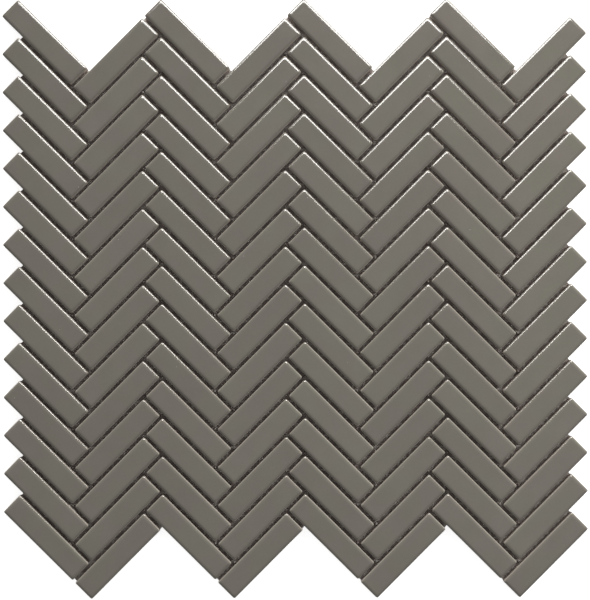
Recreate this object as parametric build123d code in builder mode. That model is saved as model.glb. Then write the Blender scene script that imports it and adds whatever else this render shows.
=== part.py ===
from build123d import *
import os
from math import sqrt

# A sheet of herringbone mosaic: glazed porcelain tiles, laid in zigzag courses on a net backing.
# Millimetres. The sheet lies face up: X runs across it, Y up it, and Z out of its face.
# The origin is the middle of the sheet, on the back of the backing.

# One tile
tile_length = 50.3
tile_width = 12.3
tile_thickness = 6.0
face_round = 1.7  # softened edge all round the glazed face

# The laying
joint = 1.55  # open joint, the same on all four sides of a tile
pairs = 4  # pairs of tiles across one course: one falls to the right, the next rises
courses = 14  # zigzag courses from the top of the sheet to its foot

# The backing
backing_thickness = 0.6
backing_margin = 0.5  # the backing stops this far inside the tiles' outer edges

# The tiles lie at 45 degrees to the sheet, so its pitches are diagonals of the tile and its joint.
column_pitch = (tile_length + joint) / sqrt(2)
course_pitch = (tile_width + joint) * sqrt(2)
pair_pitch = 2 * column_pitch

# A rising tile butts the flank of the falling one before it, and so lies half a course lower.
falling = Location((-column_pitch / 2, course_pitch / 4), -45)
rising = Location((column_pitch / 2, -course_pitch / 4), 45)

# One tile: a pressed bar with its face edges rounded over, mitred at the corners like its glaze
with BuildPart() as tile:
    with BuildSketch():
        Rectangle(tile_length, tile_width)
    extrude(amount=tile_thickness)
    fillet(tile.faces().sort_by(Axis.Z)[-1].edges(), face_round)

os.makedirs("parts", exist_ok=True)

# The courses, from the top of the sheet down, each a zigzag of separate tiles on the backing
for course in range(courses):
    course_y = ((courses - 1) / 2 - course) * course_pitch
    with BuildPart() as tile_course:
        with Locations((0, course_y, backing_thickness)):
            with GridLocations(pair_pitch, course_pitch, pairs, 1):
                with Locations(falling, rising):
                    add(tile.part)
    tile_course.part.label = f"tile_course_{course + 1:02d}"
    export_step(tile_course.part, f"parts/{tile_course.part.label}.step")

# The backing: one sheet behind all the tiles. Each tile's rectangle is grown until it laps its
# neighbours, and the outline that they make together is drawn back to inside the tiles' edges.
with BuildPart() as mesh_backing:
    with BuildSketch():
        with GridLocations(pair_pitch, course_pitch, pairs, courses):
            with Locations(falling, rising):
                Rectangle(tile_length + 2 * joint, tile_width + 2 * joint)
        offset(amount=-joint - backing_margin, kind=Kind.INTERSECTION)
    extrude(amount=backing_thickness)
mesh_backing.part.label = "mesh_backing"
export_step(mesh_backing.part, "parts/mesh_backing.step")
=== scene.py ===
import math
import random

import bmesh
import bpy
from mathutils import Matrix, Vector


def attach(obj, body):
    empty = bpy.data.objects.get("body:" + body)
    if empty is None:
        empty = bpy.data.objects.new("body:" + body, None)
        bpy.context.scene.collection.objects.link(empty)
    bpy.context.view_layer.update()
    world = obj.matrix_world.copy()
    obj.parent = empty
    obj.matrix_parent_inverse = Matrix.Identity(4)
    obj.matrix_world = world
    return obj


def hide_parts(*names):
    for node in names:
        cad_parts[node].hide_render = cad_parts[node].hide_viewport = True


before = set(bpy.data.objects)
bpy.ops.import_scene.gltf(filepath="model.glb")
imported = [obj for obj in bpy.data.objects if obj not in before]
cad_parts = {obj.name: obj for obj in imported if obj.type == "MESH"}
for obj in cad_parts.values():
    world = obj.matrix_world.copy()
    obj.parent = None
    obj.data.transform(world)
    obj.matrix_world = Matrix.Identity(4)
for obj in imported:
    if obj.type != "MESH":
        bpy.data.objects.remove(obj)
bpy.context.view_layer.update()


# The glazed tiles. Each is a slim bar of pale porcelain, dry-pressed with square walls, glazed
# from above so that the glaze rounds its face edges and runs a little way down the walls, fired
# once, and laid by hand in a jig: zigzag courses of eight, tile against tile with an open joint.
MM = 0.001
HAIR = 0.001 * MM  # a length under this is none
TILE_LENGTH = 50.3 * MM
TILE_WIDTH = 12.3 * MM
TILE_HEIGHT = 6.0 * MM
PRESSING_PLAY = 0.08 * MM  # a fired tile is this much smaller than its mould on each side
CORNER = 0.75 * MM  # round of the upright corners

# The glazed shoulder, from the wall inwards: how far in, and how far below the crown, in mm
SHOULDER = (
    (0.0, 1.05), (0.08, 0.72), (0.22, 0.52), (0.45, 0.34), (0.8, 0.17), (1.3, 0.05), (2.0, 0.0),
)

JOINT = 1.55 * MM
PAIRS = 4
COURSES = 14
COLUMN_PITCH = (TILE_LENGTH + JOINT) / math.sqrt(2)
COURSE_PITCH = (TILE_WIDTH + JOINT) * math.sqrt(2)
LAY = math.radians(45)  # how far a tile is turned from the sheet, either way
BED = 0.5 * MM  # how high the tiles' backs lie, a little into the adhesive

# How far a hand leaves a tile out of line: slipped, and turned, rolled and tipped, in degrees
SLIP = 0.025 * MM
TURN = 0.02
ROLL = 0.16
TIP = 0.05
laying = random.Random(41)


def tile_places():
    """Each tile's course, from 1 at the head, its middle, and its side: 1 rises and -1 falls."""
    for course in range(1, COURSES + 1):
        y = ((COURSES + 1) / 2 - course) * COURSE_PITCH
        for pair in range(PAIRS):
            x = (pair - (PAIRS - 1) / 2) * 2 * COLUMN_PITCH
            for side in (-1, 1):
                middle = Vector((x + side * COLUMN_PITCH / 2, y - side * COURSE_PITCH / 4, 0))
                yield course, middle, side


def smooth(bm):
    """Shades a whole mesh as rounded."""
    for f in bm.faces:
        f.smooth = True


def pressed_tile():
    """One tile about its own middle, its back on z = 0."""
    bm = bmesh.new()
    bmesh.ops.create_cube(bm, size=1.0)
    wall = TILE_HEIGHT - SHOULDER[0][1] * MM
    size = (TILE_LENGTH - 2 * PRESSING_PLAY, TILE_WIDTH - 2 * PRESSING_PLAY, wall)
    bmesh.ops.scale(bm, vec=size, verts=bm.verts)
    bmesh.ops.translate(bm, vec=(0, 0, wall / 2), verts=bm.verts)
    bm.normal_update()
    face = max(bm.faces, key=lambda f: f.calc_center_median().z)
    for (depth, drop), (next_depth, next_drop) in zip(SHOULDER, SHOULDER[1:]):
        bmesh.ops.inset_region(
            bm, faces=[face], use_boundary=True, use_even_offset=True,
            thickness=(next_depth - depth) * MM, depth=(drop - next_drop) * MM,
        )
    mitres = [e for e in bm.edges if abs(e.verts[0].co.z - e.verts[1].co.z) > HAIR]
    bmesh.ops.bevel(
        bm, geom=mitres, offset=CORNER, offset_type="OFFSET", affect="EDGES",
        segments=2, profile=0.5, material=-1,
    )
    smooth(bm)
    for e in bm.edges:
        if all(v.co.z < HAIR for v in e.verts):
            e.smooth = False
    mesh = bpy.data.meshes.new("pressed tile")
    bm.to_mesh(mesh)
    bm.free()
    return mesh


def into_scene(name, bm, material):
    """Makes an object of a finished mesh."""
    mesh = bpy.data.meshes.new(name)
    bm.to_mesh(mesh)
    bm.free()
    mesh.materials.append(material)
    thing = bpy.data.objects.new(name, mesh)
    bpy.context.scene.collection.objects.link(thing)
    return thing


def sheet_piece(name, bm, material, slot, *replaced):
    """Makes a piece of the sheet, which replaces the CAD nodes that it stands for."""
    piece = into_scene(name, bm, material)
    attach(piece, "root")
    if replaced:
        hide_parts(*replaced)
    return piece


def lay_course(number, tile, material):
    """One zigzag of eight tiles, each a hair out of line, as a hand leaves it."""
    bm = bmesh.new()
    tone = bm.verts.layers.float.new("firing")
    for course, middle, side in tile_places():
        if course != number:
            continue
        before = len(bm.verts)
        bm.from_mesh(tile)
        bm.verts.ensure_lookup_table()
        fresh = bm.verts[before:]
        firing = laying.uniform(-1, 1)
        for v in fresh:
            v[tone] = firing
        slip = Vector((laying.uniform(-1, 1), laying.uniform(-1, 1), 0)) * SLIP
        place = (
            Matrix.Translation(middle + slip + Vector((0, 0, BED)))
            @ Matrix.Rotation(side * LAY + math.radians(laying.gauss(0, TURN)), 4, "Z")
            @ Matrix.Rotation(math.radians(laying.gauss(0, ROLL)), 4, "X")
            @ Matrix.Rotation(math.radians(laying.gauss(0, TIP)), 4, "Y")
        )
        bmesh.ops.transform(bm, matrix=place, verts=fresh)
    piece = sheet_piece(
        f"glazed_course_{number:02d}", bm, material, "glazed_porcelain", f"tile_course_{number:02d}")
    soft = piece.modifiers.new("face-weighted shading", "WEIGHTED_NORMAL")
    soft.mode = "FACE_AREA"
    soft.weight = 50
    soft.keep_sharp = True


# Most of a noise pattern lies between these
NOISE_SPAN = (0.3, 0.7)


class Steps:
    """The steps that make and link the nodes of a material, or of a shader group."""

    def __init__(self, tree):
        self.nodes = tree.nodes
        self.links = tree.links

    def feed(self, socket, value):
        """Sets a socket to a colour or a number, or links another node's output to it."""
        if isinstance(value, tuple):
            socket.default_value = (*value, 1.0)
        elif isinstance(value, (int, float)):
            socket.default_value = value
        else:
            self.links.new(value, socket)

    def node(self, kind, **inputs):
        """A node with its inputs fed; From_Min stands for the input called From Min."""
        node = self.nodes.new(kind)
        for name, value in inputs.items():
            self.feed(node.inputs[name.replace("_", " ")], value)
        return node

    def noise(self, patches, detail):
        node = self.node("ShaderNodeTexNoise", Vector=self.place, Scale=patches, Detail=detail)
        return node.outputs["Fac"]

    def ramp(self, source, low, high, to_low, to_high):
        node = self.node("ShaderNodeMapRange", Value=source, From_Min=low, From_Max=high,
                         To_Min=to_low, To_Max=to_high)
        return node.outputs["Result"]

    def between(self, mask, low, high):
        """From low where the mask is 0 to high where it is 1."""
        return self.ramp(mask, 0, 1, low, high)

    def maths(self, operation, *values):
        node = self.nodes.new("ShaderNodeMath")
        node.operation = operation
        for socket, value in zip(node.inputs, values):
            self.feed(socket, value)
        return node.outputs["Value"]

    def total(self, *values):
        result, *others = values
        for value in others:
            result = self.maths("ADD", result, value)
        return result

    def blend(self, factor, a, b, kind="MIX"):
        node = self.nodes.new("ShaderNodeMix")
        node.data_type = "RGBA"
        node.blend_type = kind
        sockets = {s.identifier: s for s in node.inputs}
        for name, value in (("Factor_Float", factor), ("A_Color", a), ("B_Color", b)):
            self.feed(sockets[name], value)
        return {s.identifier: s for s in node.outputs}["Result_Color"]

    def toned(self, colour, tone):
        """A colour made lighter where the tone is over 1, and darker where it is under 1."""
        return self.blend(1.0, colour, tone, "MULTIPLY")


def unevenness_group():
    """The patches, grain and waves of every material: a mask, and a height from 0 to Depth."""
    group = bpy.data.node_groups.new("unevenness", "ShaderNodeTree")
    group.interface.new_socket("Place", in_out="INPUT", socket_type="NodeSocketVector")
    for name in ("Patches", "Detail", "Depth"):
        group.interface.new_socket(name, in_out="INPUT", socket_type="NodeSocketFloat")
    for name in ("Mask", "Height"):
        group.interface.new_socket(name, in_out="OUTPUT", socket_type="NodeSocketFloat")
    inside = Steps(group)
    given = inside.node("NodeGroupInput").outputs
    result = inside.node("NodeGroupOutput").inputs
    inside.place = given["Place"]
    swell = inside.noise(given["Patches"], given["Detail"])
    inside.feed(result["Mask"], inside.ramp(swell, *NOISE_SPAN, 0, 1))
    inside.feed(result["Height"], inside.between(swell, 0, given["Depth"]))
    return group


unevenness = unevenness_group()


class Finish(Steps):
    """A material being made, with its patterns held to the piece."""

    def __init__(self, name):
        self.material = bpy.data.materials.new(name)
        self.material.use_nodes = True
        super().__init__(self.material.node_tree)
        self.shader = self.nodes["Principled BSDF"]
        self.place = self.node("ShaderNodeTexCoord").outputs["Object"]

    def axes(self):
        return self.node("ShaderNodeSeparateXYZ", Vector=self.place).outputs

    def uneven(self, patches, detail, depth=0.0):
        """Unevenness with so many patches to the metre: its Mask and its Height."""
        node = self.nodes.new("ShaderNodeGroup")
        node.node_tree = unevenness
        for socket, value in zip(node.inputs, (self.place, patches, detail, depth)):
            self.feed(socket, value)
        return node.outputs

    def look(self, name, value):
        self.feed(self.shader.inputs[name], value)

    def relief(self, *heights):
        """Heights in metres, added up and felt by the light as real relief."""
        bump = self.node("ShaderNodeBump", Strength=1.0, Distance=1.0, Height=self.total(*heights))
        self.look("Normal", bump.outputs["Normal"])


GLAZE_COLOUR = (0.1390, 0.1252, 0.1068)
GREEN_GLAZE_COLOUR = (0.1358, 0.1274, 0.1048)
THIN_GLAZE_COLOUR = (0.275, 0.248, 0.21)
POOLED_GLAZE_COLOUR = (0.085, 0.07, 0.06)
BODY_COLOUR = (0.42, 0.375, 0.34)
GLAZE_ROUGHNESS = 0.11
CLOUD_ROUGHNESS = 0.04
BODY_ROUGHNESS = 0.65
GLAZE_IOR = 1.52
SPECULAR_LEVELS = (0.5, 0.1)  # on the face, and where the glaze has pooled

# How much lighter or darker the glaze is from tile to tile, and in its clouds and flecks
FIRING_TONE = 0.025
CLOUD_TONE = 0.03
FLECK_TONE = 0.02
PRESSED_GRAIN_TONES = (0.94, 1.05)

# Patches to the metre, and their detail
CLOUDS = (70, 3)
GREEN_CLOUDS = (65, 3)
GREEN_EDGE = (0.25, 0.75)  # between these parts of their mask the green comes in
FLECKS = (900, 2)
WAVES = (110, 1)
PEEL = (650, 1)
RUNS = (170, 1)
PRESSED_GRAIN = (1400, 3)

# Where, going down the shoulder and the wall, a change in the glaze begins and is complete
CROWN = BED + TILE_HEIGHT
THINNING = (CROWN - 0.3 * MM, CROWN - 0.55 * MM)
DULLING = (CROWN - 0.45 * MM, CROWN - 0.75 * MM)
POOLING = (CROWN - 0.76 * MM, CROWN - 0.9 * MM)
ENDING = (CROWN - 1.15 * MM, CROWN - 1.3 * MM)
CLOUD_SHIFT = 0.015 * MM
RUN_SHIFT = 0.03 * MM

WAVE_HEIGHT = 0.025 * MM
PEEL_HEIGHT = 0.0008 * MM
PRESSED_GRAIN_HEIGHT = 0.012 * MM
PINHOLE_PITCH = 45 * MM
PINHOLE_RADIUS = 0.22 * MM
PINHOLE_DEPTH = 0.12 * MM

glaze = Finish("warm grey glaze")
fired = glaze.node("ShaderNodeAttribute")
fired.attribute_name = "firing"
clouds = glaze.uneven(*CLOUDS)["Mask"]
tone = glaze.total(
    glaze.ramp(fired.outputs["Fac"], -1, 1, 1 - FIRING_TONE, 1 + FIRING_TONE),
    glaze.between(clouds, -CLOUD_TONE, CLOUD_TONE),
    glaze.between(glaze.uneven(*FLECKS)["Mask"], -FLECK_TONE, FLECK_TONE),
)
green = glaze.ramp(glaze.uneven(*GREEN_CLOUDS)["Mask"], *GREEN_EDGE, 0, 1)
face_colour = glaze.toned(glaze.blend(green, GLAZE_COLOUR, GREEN_GLAZE_COLOUR), tone)

# Where the glaze is thin over the shoulder's edge, where it pools on the wall, and where it ends.
# The level has a noise of its own, because it also feeds the gloss, which no group may feed.
z = glaze.axes()["Z"]
level = glaze.total(z, glaze.ramp(glaze.noise(*CLOUDS), *NOISE_SPAN, -CLOUD_SHIFT, CLOUD_SHIFT))
thin = glaze.ramp(level, *THINNING, 0, 1)
pooled = glaze.ramp(level, *POOLING, 0, 1)
run_level = glaze.total(z, glaze.between(glaze.uneven(*RUNS)["Mask"], -RUN_SHIFT, RUN_SHIFT))
bare = glaze.ramp(run_level, *ENDING, 0, 1)
colour = glaze.blend(thin, face_colour, THIN_GLAZE_COLOUR)
colour = glaze.blend(pooled, colour, POOLED_GLAZE_COLOUR)
grain = glaze.uneven(*PRESSED_GRAIN, PRESSED_GRAIN_HEIGHT)
body_colour = glaze.toned(BODY_COLOUR, glaze.between(grain["Mask"], *PRESSED_GRAIN_TONES))
roughness = glaze.total(
    glaze.between(bare, GLAZE_ROUGHNESS, BODY_ROUGHNESS), glaze.between(clouds, 0, CLOUD_ROUGHNESS))
glaze.look("Base Color", glaze.blend(bare, colour, body_colour))
glaze.look("Roughness", roughness)
glaze.look("Specular IOR Level", glaze.ramp(level, *DULLING, *SPECULAR_LEVELS))
glaze.look("IOR", GLAZE_IOR)

# The glaze lies in slow waves with a fine peel, and here and there a bubble has left a pinhole
bubbles = glaze.node("ShaderNodeTexVoronoi", Vector=glaze.place, Scale=1 / PINHOLE_PITCH)
bubbles.voronoi_dimensions = "2D"
glaze.relief(
    glaze.uneven(*WAVES, WAVE_HEIGHT)["Height"],
    glaze.uneven(*PEEL, PEEL_HEIGHT)["Height"],
    glaze.ramp(bubbles.outputs["Distance"], 0, PINHOLE_RADIUS / PINHOLE_PITCH, -PINHOLE_DEPTH, 0),
    glaze.maths("MULTIPLY", bare, grain["Height"]),
)

tile = pressed_tile()
for number in range(1, COURSES + 1):
    lay_course(number, tile, glaze.material)
bpy.data.meshes.remove(tile)


# The adhesive coat. A thin spread of grey adhesive in which the net is set and the tiles are
# bedded, cut off with the net just inside the tiles' outer edges. On the back it lies a little
# prouder behind each tile, where the tile's weight has pressed it against the casting table.
COAT_TOP = 0.6 * MM
COAT_BACK = 0.16 * MM
PAD_BACK = 0.08 * MM
PAD_INSET = 0.5 * MM
PAD_THICKNESS = 0.3 * MM
PAD_RIM = 0.05 * MM
STRAND_PITCH = 5.9 * MM
STRAND_WIDTH = 0.9 * MM
STRAND_PRINT_EDGE = (STRAND_WIDTH * 0.75, STRAND_WIDTH * 0.35)
STRAND_PRINT_HEIGHT = 0.06 * MM
STRAND_PRINT_COLOUR = (0.5, 0.465, 0.42)
COAT_COLOUR = (0.31, 0.265, 0.24)
COAT_TONES = (0.88, 1.12)
COAT_ROUGHNESS = (0.55, 0.75)
SPREAD = (120, 4)
SPREAD_HEIGHT = 0.08 * MM
GRIT = (1500, 2)
GRIT_HEIGHT = 0.006 * MM

adhesive = Finish("grey adhesive")
spread = adhesive.uneven(*SPREAD, SPREAD_HEIGHT)
grit = adhesive.uneven(*GRIT, GRIT_HEIGHT)
axes = adhesive.axes()


def strand_print(coordinate):
    """1 over the net's strands, which lie at multiples of the pitch, and 0 between them."""
    off_strand = adhesive.maths("PINGPONG", coordinate, STRAND_PITCH / 2)
    return adhesive.ramp(off_strand, *STRAND_PRINT_EDGE, 0, 1)


net_print = adhesive.maths("MAXIMUM", strand_print(axes["X"]), strand_print(axes["Y"]))
colour = adhesive.blend(net_print, COAT_COLOUR, STRAND_PRINT_COLOUR)
adhesive.look("Base Color", adhesive.toned(colour, adhesive.between(spread["Mask"], *COAT_TONES)))
adhesive.look("Roughness", adhesive.between(spread["Mask"], *COAT_ROUGHNESS))
adhesive.relief(
    spread["Height"], grit["Height"], adhesive.between(net_print, 0, STRAND_PRINT_HEIGHT))

bm = bmesh.new()
bm.from_mesh(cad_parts["mesh_backing"].data)
bmesh.ops.remove_doubles(bm, verts=bm.verts, dist=HAIR)
bmesh.ops.dissolve_limit(bm, angle_limit=math.radians(1), verts=bm.verts, edges=bm.edges)
outline = [
    (e.verts[0].co.copy(), e.verts[1].co.copy())
    for e in bm.edges if all(v.co.z > COAT_TOP / 2 for v in e.verts)
]
for v in bm.verts:
    v.co.z = COAT_TOP if v.co.z > COAT_TOP / 2 else COAT_BACK
pad_size = Vector((TILE_LENGTH - 2 * PAD_INSET, TILE_WIDTH - 2 * PAD_INSET, PAD_THICKNESS))
for course, middle, side in tile_places():
    pad = bmesh.ops.create_cube(bm, size=1.0)["verts"]
    place = (
        Matrix.Translation(middle + Vector((0, 0, PAD_BACK + PAD_THICKNESS / 2)))
        @ Matrix.Rotation(side * LAY, 4, "Z")
        @ Matrix.Diagonal(pad_size).to_4x4()
    )
    bmesh.ops.transform(bm, matrix=place, verts=pad)
    rims = dict.fromkeys(
        e for v in pad for e in v.link_edges
        if all(end.co.z < PAD_BACK + PAD_THICKNESS / 2 for end in e.verts))
    bmesh.ops.bevel(
        bm, geom=list(rims), offset=PAD_RIM, offset_type="OFFSET", affect="EDGES",
        segments=1, profile=0.5, material=-1,
    )
sheet_piece("adhesive_coat", bm, adhesive.material, "coated_net", "mesh_backing")


# Beads of adhesive. The tiles' weight squeezes the wet adhesive up where three tiles meet, and
# it sets there in small uneven beads between their walls. Some of the meetings stay bare.
HALF_CELL = Vector(((TILE_LENGTH + JOINT) / 2, (TILE_WIDTH + JOINT) / 2))  # a tile and its joint
REACH = 0.1 * MM
BARE_SHARE = 0.15
BEAD_GIRTHS = (0.7, 0.9)  # of its radius, in mm
BEAD_RISES = (1.6, 3.6)  # of its half height, in mm
BEAD_SUNK = 0.1 * MM
squeeze = random.Random(7)


def tiles_about(point):
    """How many tiles, with half of the joint round each, reach a point of the sheet."""
    count = 0
    for course, middle, side in tile_places():
        off = Matrix.Rotation(-side * LAY, 4, "Z") @ (point - middle)
        count += abs(off.x) < HALF_CELL.x + REACH and abs(off.y) < HALF_CELL.y + REACH
    return count


bm = bmesh.new()
met = set()
for course, middle, side in tile_places():
    turn = Matrix.Rotation(side * LAY, 4, "Z")
    for end in (-1, 1):
        for flank in (-1, 1):
            crossing = middle + turn @ Vector((end * HALF_CELL.x, flank * HALF_CELL.y, 0))
            spot = (round(crossing.x / MM), round(crossing.y / MM))
            if spot in met or tiles_about(crossing) < 3:
                continue
            met.add(spot)
            if squeeze.random() < BARE_SHARE:
                continue
            girth = squeeze.uniform(*BEAD_GIRTHS) * MM
            rise = squeeze.uniform(*BEAD_RISES) * MM
            place = (
                Matrix.Translation(crossing + Vector((0, 0, COAT_TOP - BEAD_SUNK))) @ turn
                @ Matrix.Diagonal((girth, girth, rise)).to_4x4()
            )
            bead = bmesh.ops.create_uvsphere(
                bm, u_segments=8, v_segments=6, radius=1.0, matrix=place)["verts"]
            for v in bead:
                v.co.z = max(v.co.z, COAT_BACK + BEAD_SUNK)
smooth(bm)
sheet_piece("adhesive_beads", bm, adhesive.material, "coated_net")


# The net. A leno weave of glass-fibre yarn half sunk in the back of the adhesive: flat wefts
# across the sheet, and up it warps of two thin yarns that cross between the wefts and lock them.
STRANDS = range(-26, 27)  # the sheet's middle strand is number 0
NET_LEVEL = 0.12  # height of the yarns' middles, in mm
WEFT_THICKNESS = 0.14 * MM
WEFT_DRIFT = 0.08 * MM
WEFT_WAVE = 31 * MM
WARP_WIDTH = 0.4 * MM
WARP_THICKNESS = 0.1 * MM
WARP_SWING = 0.27 * MM
WARP_LIFT = 0.065  # in mm
BENDS = 3  # cuts of a yarn in each pitch of the net
FIBRE_COLOUR = (0.55, 0.54, 0.5)
FIBRE_ROUGHNESS = (0.4, 0.6)
FILAMENTS = (2400, 3)
FILAMENT_HEIGHT = 0.04 * MM
FILAMENT_TONES = (-0.15, 0.1)
SOILING = (60, 2)
SOILING_TONES = (0.85, 1.1)

fibre = Finish("glass-fibre yarn")
filaments = fibre.uneven(*FILAMENTS, FILAMENT_HEIGHT)
tone = fibre.total(
    fibre.between(filaments["Mask"], *FILAMENT_TONES),
    fibre.between(fibre.uneven(*SOILING)["Mask"], *SOILING_TONES),
)
fibre.look("Base Color", fibre.toned(FIBRE_COLOUR, tone))
fibre.look("Roughness", fibre.between(filaments["Mask"], *FIBRE_ROUGHNESS))
fibre.relief(filaments["Height"])


def yarn(bm, along, line, width, thickness, wander):
    """Lays a yarn on a line of the net, along X for 0 and Y for 1. Its ends lie on the outline.

    wander gives how far it strays sideways and how high it lies at each point of its length."""
    across = 1 - along
    cuts = sorted(
        a[along] + (line - a[across]) / (b[across] - a[across]) * (b[along] - a[along])
        for a, b in outline if (a[across] - line) * (b[across] - line) < 0
    )
    for start, end in zip(cuts[::2], cuts[1::2]):
        if end - start < STRAND_PITCH / 2:
            continue
        before = len(bm.verts)
        bar = bmesh.ops.create_cube(bm, size=1.0)["verts"]
        size, middle = [0.0, 0.0, thickness], [0.0, 0.0, 0.0]
        size[along], size[across] = end - start, width
        middle[along], middle[across] = (start + end) / 2, line
        bmesh.ops.scale(bm, vec=size, verts=bar)
        bmesh.ops.translate(bm, vec=middle, verts=bar)
        runs = dict.fromkeys(
            e for v in bar for e in v.link_edges
            if abs(e.verts[0].co[along] - e.verts[1].co[along]) > width / 2)
        steps = max(2, round((end - start) / STRAND_PITCH * BENDS))
        bmesh.ops.subdivide_edges(bm, edges=list(runs), cuts=steps - 1, use_grid_fill=True)
        bm.verts.ensure_lookup_table()
        for v in bm.verts[before:]:
            sideways, up = wander(v.co[along])
            v.co[across] += sideways
            v.co.z += up


def weft_path(s):
    """A weft drifts a little from its line."""
    return WEFT_DRIFT * math.sin(s / WEFT_WAVE), NET_LEVEL * MM


def warp_path(side):
    """The two yarns of a warp change sides between one weft and the next, one over the other."""
    def path(s):
        swing = side * math.cos(math.pi * s / STRAND_PITCH)
        return WARP_SWING * swing, (NET_LEVEL + WARP_LIFT * swing) * MM
    return path


bm = bmesh.new()
for strand in STRANDS:
    yarn(bm, 0, strand * STRAND_PITCH, STRAND_WIDTH, WEFT_THICKNESS, weft_path)
smooth(bm)
sheet_piece("net_wefts", bm, fibre.material, "coated_net")

bm = bmesh.new()
for strand in STRANDS:
    for side in (-1, 1):
        yarn(bm, 1, strand * STRAND_PITCH, WARP_WIDTH, WARP_THICKNESS, warp_path(side))
smooth(bm)
sheet_piece("net_warps", bm, fibre.material, "coated_net")


# The table that the sheet lies on, plain and white. It glows for the camera and in mirrors
# alone, so that it shows as white paper there and still takes the sheet's shadow.
TABLE_HALF_SIDE = 6.0
TABLE_LEVEL = -0.05 * MM
TABLE_COLOUR = (0.8, 0.8, 0.8)
TABLE_GLOW = 0.78

white = bpy.data.materials.new("white table")
white.use_nodes = True
white.node_tree.nodes.clear()
paint = Steps(white.node_tree)
ray = paint.node("ShaderNodeLightPath").outputs
seen = paint.maths("MAXIMUM", ray["Is Camera Ray"], ray["Is Glossy Ray"])
seen = paint.maths("MAXIMUM", seen, ray["Is Transmission Ray"])
glow = paint.node("ShaderNodeEmission", Strength=paint.maths("MULTIPLY", seen, TABLE_GLOW))
matt = paint.node("ShaderNodeBsdfDiffuse", Color=TABLE_COLOUR)
both = paint.nodes.new("ShaderNodeAddShader")
for socket, shader in zip(both.inputs, (matt, glow)):
    paint.feed(socket, shader.outputs[0])
paint.node("ShaderNodeOutputMaterial", Surface=both.outputs[0])

bm = bmesh.new()
bmesh.ops.create_grid(bm, x_segments=1, y_segments=1, size=TABLE_HALF_SIDE)
bmesh.ops.translate(bm, vec=(0, 0, TABLE_LEVEL), verts=bm.verts)
table = into_scene("table", bm, white)


# The light of the studio: a soft key from beyond the head of the sheet, a softer one from its
# right, a low panel that the glaze mirrors along the tiles' upper edges, and an even fill.
WORLD_LIGHT = 0.35


def lamp(name, position, aim, width, height, watts):
    light = bpy.data.lights.new(name, "AREA")
    light.shape = "RECTANGLE"
    light.size, light.size_y = width, height
    light.energy = watts
    body = bpy.data.objects.new(name, light)
    bpy.context.scene.collection.objects.link(body)
    body.location = position
    body.rotation_euler = (Vector(aim) - Vector(position)).to_track_quat("-Z", "Y").to_euler()
    return body


def from_sheet(turn, rise, distance):
    """A place seen from the sheet: turn degrees right of its head, rise degrees up."""
    turn, rise = math.radians(turn), math.radians(rise)
    level = math.cos(rise)
    return Vector((math.sin(turn) * level, math.cos(turn) * level, math.sin(rise))) * distance


key = lamp(
    "key", from_sheet(turn=6, rise=22, distance=5.0), aim=(0, 0, 0), width=1.0, height=1.0, watts=360)
key.visible_glossy = False
side_fill = lamp("side fill", (0.57, 0.24, 0.46), aim=(0, 0, 0), width=0.3, height=0.3, watts=3.1)
side_fill.visible_glossy = False
panel = lamp(
    "mirrored panel", (0.042, 0.30, 0.20), aim=(0.042, 0, 0), width=0.404, height=0.16, watts=4.2)
panel.visible_diffuse = False

world = bpy.data.worlds.new("studio")
bpy.context.scene.world = world
world.use_nodes = True
background = world.node_tree.nodes["Background"].inputs
background["Color"].default_value = (1, 1, 1, 1)
background["Strength"].default_value = WORLD_LIGHT


# The camera looks straight down on the sheet, which fills the frame from head to foot. The
# sheet lies in the photo a hair off the middle, and turned by a fifth of a degree.
CAMERA_HEIGHT = 0.9
CAMERA_PLACE = (-0.1 * MM, -0.77 * MM)
CAMERA_TURN = -0.21  # degrees
FRAME_HEIGHT = 600  # pixels
PIXELS_PER_MM = 1.948
SCALE_LEVEL = 6.3 * MM  # the tiles' rims, at which the scale holds
SENSOR = 36  # mm

camera_data = bpy.data.cameras.new("camera")
camera_data.sensor_width = SENSOR
camera_data.lens = SENSOR * CAMERA_HEIGHT / (FRAME_HEIGHT / PIXELS_PER_MM * MM)
camera = bpy.data.objects.new("camera", camera_data)
bpy.context.scene.collection.objects.link(camera)
camera.location = (*CAMERA_PLACE, SCALE_LEVEL + CAMERA_HEIGHT)
camera.rotation_euler = (0, 0, math.radians(CAMERA_TURN))
bpy.context.scene.camera = camera
bpy.context.scene.view_settings.view_transform = "Standard"
